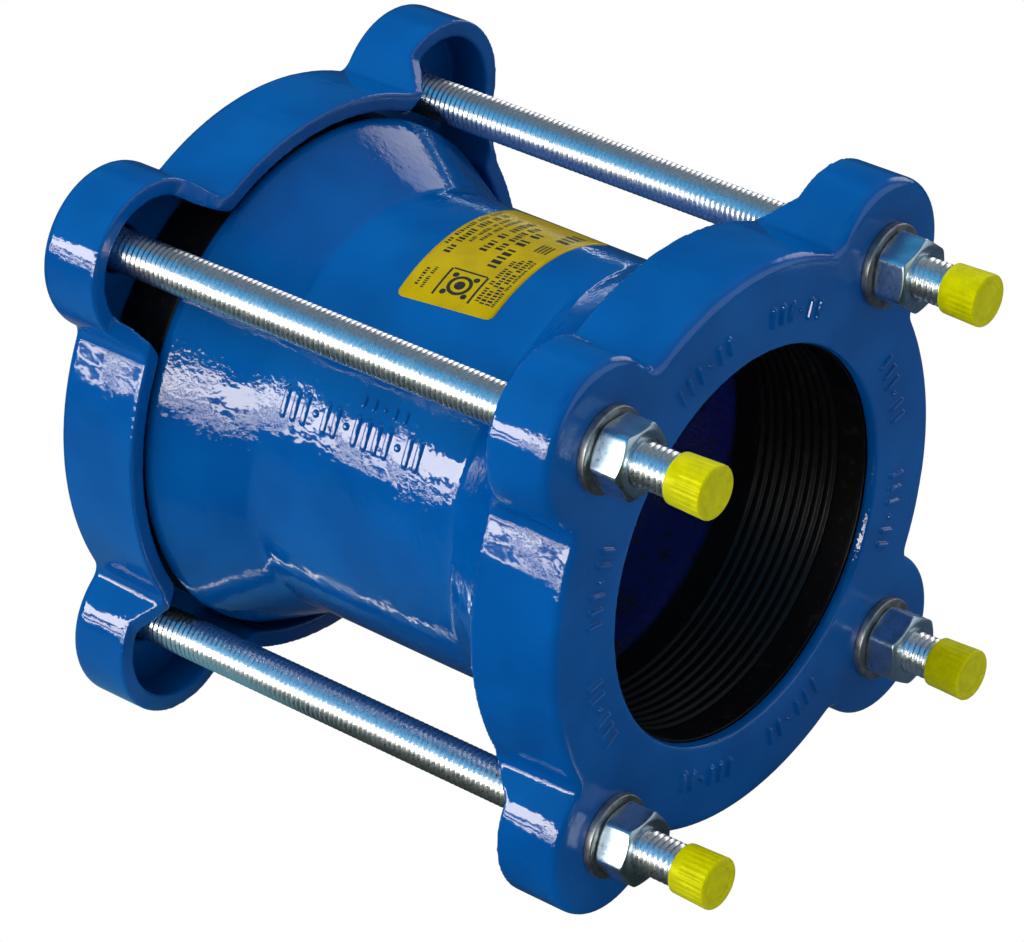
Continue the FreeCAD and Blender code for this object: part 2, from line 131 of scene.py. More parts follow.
# A profile of (x, radius) turned about the X axis: y = radius cos(angle), z = radius sin(angle).
# reshape may alter x and radius by angle.
def turnedPoints(profile, count, reshape=None):
    angle = np.arange(count) * 2 * math.pi / count
    x = np.repeat(profile[:, :1], count, 1)
    radius = np.repeat(profile[:, 1:], count, 1)
    if reshape:
        x, radius = reshape(x, radius, angle[None, :])
    return np.stack([x, radius * np.cos(angle), radius * np.sin(angle)], -1)


# A closed profile turned into an object.
def turnedObject(name, profile, count, reshape=None):
    points = turnedPoints(profile, count, reshape)
    return meshObject(name, points.reshape(-1, 3), gridFaces(len(profile), count, True, True))


# The pinholes at the poles are filled, the faces are turned outwards and shaded smooth, and the
# piece is given its material and tied to its body and its CAD nodes. A piece that is blended has no body
# here.
def finishPiece(thing, material, body, nodes):
    mesh = thing.data
    edit = bmesh.new()
    edit.from_mesh(mesh)
    pinholes = [edge for edge in edit.edges
                if edge.is_boundary and edge.calc_length() < pinholeEdge * metre]
    bmesh.ops.holes_fill(edit, edges=pinholes)
    bmesh.ops.recalc_face_normals(edit, faces=edit.faces)
    edit.to_mesh(mesh)
    edit.free()
    mesh.polygons.foreach_set("use_smooth", np.ones(len(mesh.polygons), bool))
    mesh.materials.clear()
    mesh.materials.append(material)
    if body:
        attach(thing, body)
    if nodes:
        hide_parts(*nodes)


# The colour of a six-digit sRGB hex text, as the linear values that the shaders take.
def linear(text):
    parts = [int(text[i:i + 2], 16) / 255 for i in (0, 2, 4)]
    return [c / 12.92 if c < 0.04045 else ((c + 0.055) / 1.055) ** 2.4 for c in parts] + [1.0]


# Adds a shader node. Settings are node properties; inputs are sockets by name or number, given a
# value or the output that feeds them.
def addNode(tree, kind, inputs, **settings):
    node = tree.nodes.new("ShaderNode" + kind)
    for key, value in settings.items():
        setattr(node, key, value)
    for key, value in inputs.items():
        if isinstance(value, bpy.types.NodeSocket):
            tree.links.new(value, node.inputs[key])
        else:
            node.inputs[key].default_value = value
    return node


# The emptied node tree of a new material or world.
def emptyTree(owner):
    owner.use_nodes = True
    owner.node_tree.nodes.clear()
    return owner.node_tree


def newMaterial(name):
    material = bpy.data.materials.new(name)
    tree = emptyTree(material)
    shader = addNode(tree, "BsdfPrincipled", {})
    addNode(tree, "OutputMaterial", {"Surface": shader.outputs[0]})
    return material, tree, shader


# The place on the piece in millimetres, so that a noise's scale is one over its real size.
def millimetres(tree):
    place = addNode(tree, "TexCoord", {})
    scaled = addNode(tree, "VectorMath", {0: place.outputs["Object"], "Scale": 1 / metre}, operation="SCALE")
    return scaled.outputs[0]


# Lets the base colour run from one sRGB tone to another as a pattern goes from low to high.
def mottle(tree, shader, pattern, low, high, tones):
    level = addNode(tree, "MapRange", {"Value": pattern.outputs[0], "From Min": low, "From Max": high})
    mix = addNode(tree, "Mix", {0: level.outputs[0], 6: linear(tones[0]), 7: linear(tones[1])},
                  data_type="RGBA")  # sockets 6 and 7 are its colours
    tree.links.new(mix.outputs[2], shader.inputs["Base Color"])


# Blue fusion-bonded epoxy on an iron casting: a deep blue with a wet gloss over the casting's slow
# unevenness, waves of the given depth, and a finer orange peel in patches, where the patch noise is
# over the given level. They break up its reflections. End faces can be duller than the rest.
def makeEpoxy(name, waveDepth, peelLevel, roughness, endRoughness=None):
    material, tree, shader = newMaterial(name)
    place = millimetres(tree)
    shade = addNode(tree, "TexNoise", {"Vector": place, "Scale": 1 / 26})
    mottle(tree, shader, shade, 0.35, 0.65, ("00478C", "005099"))
    form = addNode(tree, "TexNoise", {"Vector": place, "Scale": 1 / 9, "Detail": 1.0})
    uneven = addNode(tree, "Bump", {"Height": form.outputs[0], "Distance": 0.2 * metre})
    ripple = addNode(tree, "TexNoise", {"Vector": place, "Scale": 1 / 3.2, "Detail": 1.0})
    waves = addNode(tree, "Bump", {"Height": ripple.outputs[0], "Distance": waveDepth * metre,
                                   "Normal": uneven.outputs[0]})
    spread = addNode(tree, "TexNoise", {"Vector": place, "Scale": 1 / 15})
    patches = addNode(tree, "MapRange", {"Value": spread.outputs[0], "From Min": peelLevel,
                                         "From Max": peelLevel + 0.16, "To Min": 0.05})
    grain = addNode(tree, "TexNoise", {"Vector": place, "Scale": 1 / 1.4, "Detail": 2.2, "Roughness": 0.55})
    patchy = addNode(tree, "Math", {0: grain.outputs[0], 1: patches.outputs[0]}, operation="MULTIPLY")
    peel = addNode(tree, "Bump", {"Height": patchy.outputs[0], "Distance": 0.13 * metre,
                                  "Normal": waves.outputs[0]})
    tree.links.new(peel.outputs[0], shader.inputs["Normal"])
    shader.inputs["Roughness"].default_value = roughness
    if endRoughness:
        normal = addNode(tree, "SeparateXYZ", {0: addNode(tree, "TexCoord", {}).outputs["Normal"]})
        endwards = addNode(tree, "Math", {0: normal.outputs["X"]}, operation="ABSOLUTE")
        gloss = addNode(tree, "MapRange", {"Value": endwards.outputs[0], "From Min": 0.8,
                                           "To Min": roughness, "To Max": endRoughness})
        tree.links.new(gloss.outputs[0], shader.inputs["Roughness"])
    shader.inputs["IOR"].default_value = 1.5
    shader.inputs["Specular Tint"].default_value = (1.0, 0.95, 0.97, 1.0)
    return material


# The same coating, thin over rough sand-cast iron inside the sleeve: a navy base far darker than the
# outside, which is painted shade for the inside of the bore, mottled with near-black dirt.
def makeInnerEpoxyPaintedShade():
    material, tree, shader = newMaterial("epoxy_over_rough_casting_painted_shade")
    place = millimetres(tree)
    dirtAndShade = addNode(tree, "TexNoise", {"Vector": place, "Scale": 1 / 5, "Detail": 5.0, "Roughness": 0.65})
    # The navy end of this mottle is painted shade for the bore's inside; the near-black end is dirt.
    mottle(tree, shader, dirtAndShade, 0.5, 0.66, ("060F74", "14161C"))
    sand = addNode(tree, "TexNoise", {"Vector": place, "Scale": 1 / 2.6, "Detail": 6.0, "Roughness": 0.7})
    grit = addNode(tree, "Bump", {"Height": sand.outputs[0], "Distance": 1.1 * metre})
    tree.links.new(grit.outputs[0], shader.inputs["Normal"])
    shader.inputs["Roughness"].default_value = 0.14
    return material


# Bright zinc plating on rolled, forged or stamped steel: faint stains, gloss that wanders between
# smooth and dull, and fine random scratches of the given depth.
def makeZinc(name, tones, smooth, dull, scratchDepth):
    material, tree, shader = newMaterial(name)
    place = millimetres(tree)
    stains = addNode(tree, "TexNoise", {"Vector": place, "Scale": 1 / 4, "Detail": 3.0})
    mottle(tree, shader, stains, 0.3, 0.7, tones)
    wear = addNode(tree, "TexNoise", {"Vector": place, "Scale": 1 / 0.9, "Detail": 4.0})
    rough = addNode(tree, "MapRange", {"Value": wear.outputs[0], "From Min": 0.3, "From Max": 0.7,
                                       "To Min": smooth, "To Max": dull})
    tree.links.new(rough.outputs[0], shader.inputs["Roughness"])
    scratch = addNode(tree, "TexNoise", {"Vector": place, "Scale": 1 / 0.5, "Detail": 3.0})
    skin = addNode(tree, "Bump", {"Height": scratch.outputs[0], "Distance": scratchDepth * metre})
    tree.links.new(skin.outputs[0], shader.inputs["Normal"])
    shader.inputs["Metallic"].default_value = 1.0
    return material


# Black moulded rubber with a dusting of grey and a slight oily sheen.
def makeRubber():
    material, tree, shader = newMaterial("moulded_rubber")
    place = millimetres(tree)
    dust = addNode(tree, "TexNoise", {"Vector": place, "Scale": 1 / 3.2, "Detail": 6.0, "Roughness": 0.7})
    mottle(tree, shader, dust, 0.56, 0.78, ("0A0A0B", "2B2825"))
    pores = addNode(tree, "TexNoise", {"Vector": place, "Scale": 1 / 0.8, "Detail": 3.0})
    skin = addNode(tree, "Bump", {"Height": pores.outputs[0], "Distance": 0.03 * metre})
    tree.links.new(skin.outputs[0], shader.inputs["Normal"])
    shader.inputs["Roughness"].default_value = 0.4
    shader.inputs["Specular IOR Level"].default_value = 0.22
    return material


# Acid yellow injection-moulded polyethylene, whose gloss keeps its colour.
def makeCapPlastic():
    material, tree, shader = newMaterial("moulded_polyethylene")
    place = millimetres(tree)
    flow = addNode(tree, "TexNoise", {"Vector": place, "Scale": 1 / 3.0})
    mottle(tree, shader, flow, 0.3, 0.7, ("AEB000", "C0C200"))
    pores = addNode(tree, "TexNoise", {"Vector": place, "Scale": 1 / 0.7})
    skin = addNode(tree, "Bump", {"Height": pores.outputs[0], "Distance": 0.015 * metre})
    tree.links.new(skin.outputs[0], shader.inputs["Normal"])
    shader.inputs["Roughness"].default_value = 0.32
    shader.inputs["Specular IOR Level"].default_value = 0.35
    shader.inputs["Specular Tint"].default_value = (1.0, 1.0, 0.0, 1.0)
    return material


# Yellow label film: glossy, a little uneven over the coat's own waves, with faint browner clouds.
def makeFilmPlastic():
    material, tree, shader = newMaterial("printed_label_film")
    place = millimetres(tree)
    clouds = addNode(tree, "TexNoise", {"Vector": place, "Scale": 1 / 9, "Detail": 3.0})
    mottle(tree, shader, clouds, 0.3, 0.7, ("B29C00", "9F8A00"))
    waves = addNode(tree, "TexNoise", {"Vector": place, "Scale": 1 / 6})
    skin = addNode(tree, "Bump", {"Height": waves.outputs[0], "Distance": 0.12 * metre})
    tree.links.new(skin.outputs[0], shader.inputs["Normal"])
    shader.inputs["Roughness"].default_value = 0.22
    shader.inputs["Specular IOR Level"].default_value = 0.35
    shader.inputs["Specular Tint"].default_value = (0.9, 0.85, 0.0, 1.0)
    return material


# Thin black print, a little patchy.
def makeInkFinish():
    material, tree, shader = newMaterial("thermal_print_ink")
    patchy = addNode(tree, "TexNoise", {"Vector": millimetres(tree), "Scale": 1 / 0.4})
    mottle(tree, shader, patchy, 0.35, 0.75, ("17160C", "38320E"))
    shader.inputs["Roughness"].default_value = 0.35
    return material


materials = {
    "epoxy": makeEpoxy("epoxy_coated_iron", waveDepth=0.09, peelLevel=0.44, roughness=0.045),
    "glandEpoxy": makeEpoxy("epoxy_coated_ring_casting", waveDepth=0.045, peelLevel=0.47, roughness=0.06,
                            endRoughness=0.2),
    "innerEpoxyShaded": makeInnerEpoxyPaintedShade(),
    "thread": makeZinc("zinc_on_rolled_thread", ("F4F7F8", "E4E9EC"), smooth=0.24, dull=0.36,
                       scratchDepth=0.001),
    "nut": makeZinc("zinc_on_forged_steel", ("C6DAE8", "AEC0CC"), smooth=0.26, dull=0.36,
                    scratchDepth=0.0006),
    "washer": makeZinc("zinc_on_stamped_steel", ("BEBDBA", "85837F"), smooth=0.36, dull=0.55,
                       scratchDepth=0.03),
    "rubber": makeRubber(),
    "cap": makeCapPlastic(),
    "film": makeFilmPlastic(),
    "ink": makeInkFinish(),
}
print("materials made")

# The sleeve: a barrel between two bells, with a conical seat inside each mouth. "half" holds the
# (x, radius, rounding) corners of one half, and "inside" the surface that counts as its inside: a
# radius in the barrel that grows by "rise" over "length" from "start" on.
sleeve = {
    "wander": (0.09, 0.05),
    "columns": 400,
    "step": 1.6,
    "half": [(37.5, 56.5, 3), (coupling["sleeveEnd"], 69.5, 1.4), (coupling["sleeveEnd"], 74.8, 1.6),
             (60.5, 74.8, 3), (35.5, coupling["barrelRadius"], 1.8)],
    "inside": {"radius": 57.5, "start": 37.5, "length": 26, "rise": 13.2},
}


# A sand casting's surface wanders by a few tenths, always inwards:
# r += a (sin(3 angle + x / 20) - 1) + b (sin(7 angle - x / 13) - 1).
def wander(x, radius, angle):
    wide, narrow = sleeve["wander"]
    drift = wide * (np.sin(3 * angle + x / 20) - 1) + narrow * (np.sin(7 * angle - x / 13) - 1)
    return x, radius + drift


def makeSleeve():
    mirrored = [(-x, radius, rounding) for x, radius, rounding in reversed(sleeve["half"])]
    profile = softPath(sleeve["half"] + mirrored, sleeve["step"])
    thing = turnedObject("sleeveCasting", profile, sleeve["columns"], wander)
    finishPiece(thing, materials["epoxy"], "coupling_body", ["sleeve_body"])
    # The faces inside the barrel and bells take the copy of the coat painted darker as shade for the bore.
    thing.data.materials.append(materials["innerEpoxyShaded"])
    centres = np.zeros(len(thing.data.polygons) * 3)
    thing.data.polygons.foreach_get("center", centres)
    x, y, z = (centres.reshape(-1, 3) / metre - [coupling["middle"], 0, 0]).T
    inside = sleeve["inside"]
    share = np.clip((np.abs(x) - inside["start"]) / inside["length"], 0, 1)
    within = np.hypot(y, z) < inside["radius"] + inside["rise"] * share
    thing.data.polygons.foreach_set("material_index", within.astype(np.int32))


makeSleeve()
print("sleeve made")

# A gland: the casting's solid with its edges softened, as the epoxy rounds them. A merged copy is
# cut into small voxels, smoothed, and thinned out to a share of its faces.
gland = {"merge": 0.001, "voxel": 0.72, "softness": 0.5, "rounds": 2, "share": 0.42}


def makeGland(side):
    node = "gland_" + side
    thing = bpy.data.objects.new(node + "Casting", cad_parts[node].data.copy())
    bpy.context.scene.collection.objects.link(thing)
    edit = bmesh.new()
    edit.from_mesh(thing.data)
    bmesh.ops.remove_doubles(edit, verts=edit.verts, dist=gland["merge"] * metre)
    edit.to_mesh(thing.data)
    edit.free()
    remesh = thing.modifiers.new("remesh", "REMESH")
    remesh.mode = "VOXEL"
    remesh.voxel_size = gland["voxel"] * metre
    soften = thing.modifiers.new("soften", "SMOOTH")
    soften.factor = gland["softness"]
    soften.iterations = gland["rounds"]
    thin = thing.modifiers.new("thin", "DECIMATE")
    thin.ratio = gland["share"]
    reading = bpy.context.evaluated_depsgraph_get()
    thing.data = bpy.data.meshes.new_from_object(thing.evaluated_get(reading))
    thing.modifiers.clear()
    finishPiece(thing, materials["glandEpoxy"], side + "_gland", [node])
    return thing


for side in sides:
    made = makeGland(side)
    print(side, "gland made,", len(made.data.polygons), "faces")

# A gasket: ribbed bore behind a plain front band, head against the gland, nose down the bell.
# x runs outwards from the sleeve's end, and it is squeezed between foot and seat.
gasket = {
    "lip": 21.4, "seat": 17.3, "foot": 0.3, "nose": -23.5,
    "bore": 56.0, "lipRadius": 64.2, "headRadius": 73.4, "neckRadius": 69.2, "noseRadius": 57.45,
    "bandStart": 12.4, "pitch": 3.1, "ribs": 9, "valley": 0.9, "ribRounding": 0.3,
    "columns": 256, "step": 1.5,
}


def makeGasket(side):
    bore, pitch, rounding = gasket["bore"], gasket["pitch"], gasket["ribRounding"]
    lip, seat, foot, nose = gasket["lip"], gasket["seat"], gasket["foot"], gasket["nose"]
    path = [(nose, bore, 0.5)]
    for rib in reversed(range(gasket["ribs"])):
        start = gasket["bandStart"] - rib * pitch
        path += [(start - pitch * 2 / 3, bore, rounding),
                 (start - pitch / 3, bore + gasket["valley"], rounding), (start, bore, rounding)]
    path += [(lip, bore, 0.5), (seat, gasket["lipRadius"], 1.0), (seat, gasket["headRadius"], 1.0),
             (foot, gasket["headRadius"], 0.8), (foot, gasket["neckRadius"], 0.5),
             (nose, gasket["noseRadius"], 0.6)]
    profile = softPath(path, gasket["step"])
    sign = sides[side]
    profile[:, 0] = sign * (profile[:, 0] + coupling["sleeveEnd"])
    thing = turnedObject("gasketRubber_" + side, profile, gasket["columns"])
    finishPiece(thing, materials["rubber"], None, ["gasket_" + side])
    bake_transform(thing)


for side in sides:
    makeGasket(side)
print("gaskets made")

# Bolts: M12 with a right-hand rolled thread up to the head. Each turn of the thread has four lines,
# two edges of the crest and two of the root, as (share of the pitch, 1 for the crest).
thread = {
    "crest": 6.0, "root": 5.12, "pitch": 1.75, "bevel": 1.0, "columns": 40,
    "lines": [(-0.13, 1), (0.13, 1), (0.38, 0), (0.6, 0)],
}

# Hexagons of the nuts and heads, with the degrees in each sixth that have a column.
hexagon = {
    "width": 19.0, "faceRadius": 9.0, "slope": math.tan(math.radians(30)), "cornerCut": 0.3,
    "sixth": [0, 0.9, 2.0, 4.0, 8, 15, 22.5, 30, 37.5, 45, 52, 56, 58, 59.1],
}
nut = {
    "height": 10.0, "bore": 5.2, "mouth": 6.5, "countersink": 1.3,
    "turn": {"upper_left": 0, "upper_right": 20, "lower_left": 5, "lower_right": 26},
}
head = {"height": 7.5, "turn": 17.0, "throat": 5.5, "bevel": 0.15}


# The grid follows the helix x = pitch * angle / 2 pi from the head's underside to the bevelled tip,
# with x clipped to the shank's ends.
def threadPoints(start, end):
    pitch, columns = thread["pitch"], thread["columns"]
    turns = math.ceil((end - start) / pitch) + 2
    steps = np.arange(turns * columns)
    angle = steps * 2 * math.pi / columns
    share, high = np.array(thread["lines"]).T
    x = (start + steps / columns * pitch - pitch)[:, None] + share * pitch
    radius = thread["root"] + high * (thread["crest"] - thread["root"]) + 0 * x
    x = np.clip(x, start, end)
    radius = np.minimum(radius, thread["crest"] - np.maximum(x - end + thread["bevel"], 0))
    points = np.stack([x, radius * np.cos(angle)[:, None], radius * np.sin(angle)[:, None]], -1)
    faces = gridFaces(len(steps), 4)
    index = np.arange(len(steps) - columns - 1) * 4
    joins = np.stack([index + 3, index + 7, index + 4 + 4 * columns, index + 4 * columns], -1)
    return points.reshape(-1, 3), np.concatenate([faces, joins])


# Angles round a hexagon, its outline's radius there, and the rows of one face from its circle out.
# The flats lie at R = half width / cos(angle from the flat's middle), and the face falls away
# outside its circle at 30 degrees, which draws the arcs. The small offsets round the edges.
def hexagonRows(turn):
    degrees = np.array([60 * k + part for k in range(6) for part in hexagon["sixth"]])
    edge = hexagon["width"] / 2 / np.cos(np.radians(degrees % 60 - 30))
    edge = np.minimum(edge, hexagon["width"] / math.sqrt(3) - hexagon["cornerCut"])
    face = hexagon["faceRadius"]
    fall = (edge - face) * hexagon["slope"]
    whole = np.ones_like(edge)
    rows = [
        (0 * whole, (face - 0.35) * whole), (0.06 * whole, (face + 0.1) * whole),
        (fall * 0.6 + 0.03, face + (edge - face) * 0.6), (fall - 0.08, edge - 0.16),
        (fall + 0.12, edge - 0.02), (fall + 0.5, edge),
    ]
    return np.radians(degrees + turn), edge, whole, rows


def atCorner(points, corner):
    across, up = corners[corner]
    return points + [0, across * coupling["boltOffset"], up * coupling["boltOffset"]]


# Rows of (x, radius) arrays set round the axis at the given angles.
def roundPoints(rows, angle):
    x = np.array([row[0] for row in rows])
    radius = np.array([row[1] for row in rows])
    return np.stack([x, radius * np.cos(angle), radius * np.sin(angle)], -1)


# A bolt: the threaded shank, the disc that closes its tip, and the head behind the rear gland.
def makeBolt(corner):
    start = -coupling["face"]
    end = coupling["boltTip"] + coupling["shift"][corner]
    columns = thread["columns"]
    shank, shankFaces = threadPoints(start, end)
    tip = turnedPoints(np.array([[end, thread["crest"] - thread["bevel"]], [end, pinhole]]), columns)
    tipFaces = gridFaces(2, columns, False, True) + len(shank)
    angle, edge, whole, face = hexagonRows(nut["turn"][corner] + head["turn"])
    outer = start - head["height"]
    throat, bevel = head["throat"] * whole, head["bevel"]
    rows = [(outer * whole, pinhole * whole), (outer * whole, throat)]
    rows += [(outer + x, radius) for x, radius in face]
    rows += [(start - bevel * whole, edge), (start * whole, edge - bevel), (start * whole, throat)]
    block = roundPoints(rows, angle)
    blockFaces = gridFaces(len(rows), len(angle), False, True) + len(shank) + tip.size // 3
    points = np.concatenate([shank, tip.reshape(-1, 3), block.reshape(-1, 3)])
    faces = np.concatenate([shankFaces, tipFaces, blockFaces])
    thing = meshObject("boltThread_" + corner, atCorner(points, corner), faces)
    finishPiece(thing, materials["thread"], "rear_gland", ["bolt_" + corner])


# A nut: half of it from the bore's middle over the countersunk mouth to the face, and its mirror.
def makeNut(corner):
    angle, edge, whole, face = hexagonRows(nut["turn"][corner])
    height, mouth = nut["height"], nut["mouth"]
    half = [
        (height / 2 * whole, nut["bore"] * whole), (nut["countersink"] * whole, nut["bore"] * whole),
        (0.12 * whole, (mouth - 0.1) * whole), (0 * whole, (mouth + 0.15) * whole),
    ]
    half += face
    rows = half + [(height - x, radius) for x, radius in reversed(half)]
    near = coupling["face"] + coupling["washerThickness"]
    points = atCorner(roundPoints(rows, angle) + [near, 0, 0], corner)
    faces = gridFaces(len(rows), len(angle), False, True)
    thing = meshObject("nutForging_" + corner, points.reshape(-1, 3), faces)
    finishPiece(thing, materials["nut"], corner + "_nut", ["nut_" + corner])


# Washers: stamped rings, rounder on the punch's side.
washer = {"bore": 6.5, "radius": 12.0, "rounding": 0.3, "punchRounding": 0.45, "columns": 72, "step": 0.8}


def makeWasher(corner):
    bore, radius, rounding = washer["bore"], washer["radius"], washer["rounding"]
    top = coupling["washerThickness"]
    path = [(0, bore, rounding), (0, radius, rounding), (top, radius, washer["punchRounding"]),
            (top, bore, rounding)]
    profile = softPath(path, washer["step"]) + [coupling["face"], 0]
    points = atCorner(turnedPoints(profile, washer["columns"]), corner)
    faces = gridFaces(len(profile), washer["columns"], True, True)
    thing = meshObject("washerDisc_" + corner, points.reshape(-1, 3), faces)
    finishPiece(thing, materials["washer"], "front_gland", ["washer_" + corner])


# Thread caps: a thin cup with shallow flutes between fluteStart and fluteEnd, measured from its
# mouth, and a sunk end. "dish" has the end's corners as (depth, inset from the radius, rounding).
cap = {
    "length": 11.6, "radius": 7.45, "mouthRadius": 7.05, "bore": 6.06, "endWall": 0.7, "endGap": 0.1,
    "flutes": 28, "samples": 7, "fluteDepth": 0.17, "fluteStart": 3.0, "startFade": 0.8,
    "fluteEnd": 11.5, "endFade": 0.5, "wall": 0.28, "step": 1.1,
    "dish": [(0, 1.5, 0.3), (0.3, 2.2, 0.3), (0.3, 2.7, 0.2), (0.12, 3.0, 0.2)],
}


# The flutes take depth * clip(0.5 + 0.9 cos(flutes * angle + 0.6), 0, 1) off the outer wall.
def flute(x, reach, angle):
    outside = np.where(reach > cap["mouthRadius"] - cap["wall"], 1.0, 0.0)
    rise = np.clip((x - cap["fluteStart"]) / cap["startFade"], 0, 1)
    fall = np.clip((cap["fluteEnd"] - x) / cap["endFade"], 0, 1)
    wave = np.clip(0.5 + 0.9 * np.cos(cap["flutes"] * angle + 0.6), 0, 1)
    return x, reach - cap["fluteDepth"] * wave * rise * fall * outside


def makeCap(corner):
    end, radius, bore = cap["length"], cap["radius"], cap["bore"]
    inner = end - cap["endWall"]
    path = [(inner, pinhole, 0), (inner, bore, 0.2), (0, bore, 0.2), (0, cap["mouthRadius"], 0.6),
            (end, radius, 0.75)]
    path += [(end - depth, radius - inset, rounding) for depth, inset, rounding in cap["dish"]]
    path += [(path[-1][0], pinhole, 0)]
    profile = softPath(path, cap["step"], closed=False)
    count = cap["flutes"] * cap["samples"]
    crown = coupling["boltTip"] + coupling["shift"][corner] + cap["endGap"] + cap["endWall"]
    points = turnedPoints(profile, count, flute) + [crown - end, 0, 0]
    faces = gridFaces(len(profile), count, False, True)
    thing = meshObject("threadCap_" + corner, atCorner(points, corner).reshape(-1, 3), faces)
    finishPiece(thing, materials["cap"], corner + "_cap", ["cap_" + corner])


for corner in corners:
    makeBolt(corner)
    makeNut(corner)
    makeWasher(corner)
    makeCap(corner)
print("bolts, nuts, washers and caps made")

# Raised marks left by the casting pattern: plain bars of the given lengths, and dots where it is 0,
# that rise gently out of the coat from foot to crest, which are half widths.
marks = {
    "crest": 0.4, "foot": 1.3, "sink": 0.04, "rows": 15, "columns": 22,
    "barrelRise": 0.7, "barrelPitch": 3.6,
    "barrelRows": [  # lengths, the first one's x, degrees from the top, share of the widths
        ([7, 7, 7, 0, 7, 7, 0, 7, 7, 7, 7, 0, 7, 7], -27.0, 62.0, 1.0),
        ([2.2, 2.2, 0, 2.2, 2.2], -2.0, 54.5, 0.7),
    ],
    "faceRise": 1.1, "facePitch": 4.2, "faceRadius": 66.6, "faceNarrow": 0.8,
    "faceRow": [4.6, 4.6, 0, 4.6, 4.6, 4.6],
    "faceTurns": [17, 73, 107, 163, 197, 253, 287, 343],
}


# One mark's grid: s across it, t along it, and height = rise * (1 - smooth step of the distance
# from its middle line, crest to foot) - sink.
def markPatch(length, rise, narrow):
    crest, foot = marks["crest"] * narrow, marks["foot"] * narrow
    s = np.linspace(-foot, foot, marks["rows"])[:, None]
    t = np.linspace(-foot - length / 2, foot + length / 2, marks["columns"])[None, :]
    distance = np.hypot(s, np.maximum(np.abs(t) - length / 2, 0))
    part = np.clip((distance - crest) / (foot - crest), 0, 1)
    height = rise * (1 - part * part * (3 - 2 * part)) - marks["sink"]
    return s + 0 * t, t + 0 * s, height


def joinPatches(name, patches):
    rows, columns = marks["rows"], marks["columns"]
    faces = [gridFaces(rows, columns) + index * rows * columns for index in range(len(patches))]
    points = np.concatenate([patch.reshape(-1, 3) for patch in patches])
    return meshObject(name, points, np.concatenate(faces))


# A mark laid on the barrel: s along the pipe, t round it.
def barrelPatch(x, degrees, patch):
    s, t, height = patch
    angle = math.radians(90 + degrees) - t / coupling["barrelRadius"]
    along, radius = wander(x + s, coupling["barrelRadius"] + height, angle)
    return np.stack([along, radius * np.cos(angle), radius * np.sin(angle)], -1)


# A mark laid on a gland's face: s round the pipe, t outwards.
def facePatch(sign, turn, patch):
    s, t, height = patch
    angle = math.radians(turn) - s / marks["faceRadius"]
    radius = marks["faceRadius"] + t
    return np.stack([sign * (coupling["face"] + height), radius * np.cos(angle), radius * np.sin(angle)], -1)


def makeBarrelMarks():
    patches = []
    for lengths, start, degrees, narrow in marks["barrelRows"]:
        for index, length in enumerate(lengths):
            x = start + index * marks["barrelPitch"]
            patches.append(barrelPatch(x, degrees, markPatch(length, marks["barrelRise"], narrow)))
    thing = joinPatches("barrelMarks", patches)
    finishPiece(thing, materials["epoxy"], "coupling_body", ())


def makeFaceMarks(side):
    step = math.degrees(marks["facePitch"] / marks["faceRadius"])
    first = -(len(marks["faceRow"]) - 1) / 2
    patches = []
    for middle in marks["faceTurns"]:
        for index, length in enumerate(marks["faceRow"]):
            patch = markPatch(length, marks["faceRise"], marks["faceNarrow"])
            patches.append(facePatch(sides[side], middle + (index + first) * step, patch))
    thing = joinPatches("faceMarks_" + side, patches)
    finishPiece(thing, materials["glandEpoxy"], side + "_gland", ())


makeBarrelMarks()
for side in sides:
    makeFaceMarks(side)
print("cast marks made")

# The label: a film bent round the barrel, its corners rounded, with ink laid just over it. Its own
# coordinates are u along the pipe and v round the barrel, and its rim is sunk into the coat.
sticker = {
    "width": 31.0, "length": 59.0, "corner": 2.0, "film": 0.2, "inkLift": 0.03, "rim": 0.08, "rimLift": -0.1,
    "middle": 2.5, "shift": 2.6, "skew": 5.2, "rows": 64, "columns": 28, "cornerRows": 8,
}


# The barrel's surface at (u, v), turned by the skew and lifted: v becomes the chord R sin(v / R),
# and the angle is arccos(across / radius).
def onBarrel(u, v, lift):
    askew = math.radians(sticker["skew"])
    radius = coupling["barrelRadius"] + lift
    chord = coupling["barrelRadius"] * np.sin(v / coupling["barrelRadius"])
    x = sticker["shift"] + u * math.cos(askew) - chord * math.sin(askew)
    across = u * math.sin(askew) + chord * math.cos(askew)
    angle = np.arccos(np.clip(across / radius, -1, 1))
    x, radius = wander(x, radius, angle)
    return np.stack([x, radius * np.cos(angle), radius * np.sin(angle)], -1)


# A rounded rectangle of rows across u: where v is "over" by more than its straight part, the row's
# half width is the width's half - corner + sqrt(corner^2 - over^2).
def makeFilm():
    corner, rim = sticker["corner"], sticker["rim"]
    halfLength, halfWidth = sticker["length"] / 2, sticker["width"] / 2
    straight = halfLength - corner
    ends = halfLength - corner * (1 - np.cos(np.linspace(0, math.pi / 2, sticker["cornerRows"])))
    v = np.concatenate([-ends, np.linspace(-straight, straight, sticker["rows"])[1:-1], ends])
    v = np.unique(np.round(v, 6))[:, None]
    over = np.maximum(np.abs(v) - straight, 0)
    half = halfWidth - corner + np.sqrt(np.maximum(corner ** 2 - over ** 2, 0))
    u = np.linspace(-1, 1, sticker["columns"])[None, :] * half
    v = v + sticker["middle"] + 0 * u
    inner = onBarrel(u, v, sticker["film"])
    u = np.concatenate([u[:, :1] - rim, u, u[:, -1:] + rim], 1)
    v = np.concatenate([v[:, :1], v, v[:, -1:]], 1)
    u = np.concatenate([u[:1], u, u[-1:]])
    v = np.concatenate([v[:1] - rim, v, v[-1:] + rim])
    points = onBarrel(u, v, sticker["rimLift"])
    points[1:-1, 1:-1] = inner
    thing = meshObject("labelFilm", points.reshape(-1, 3), gridFaces(*u.shape))
    finishPiece(thing, materials["film"], "coupling_body", ["label"])


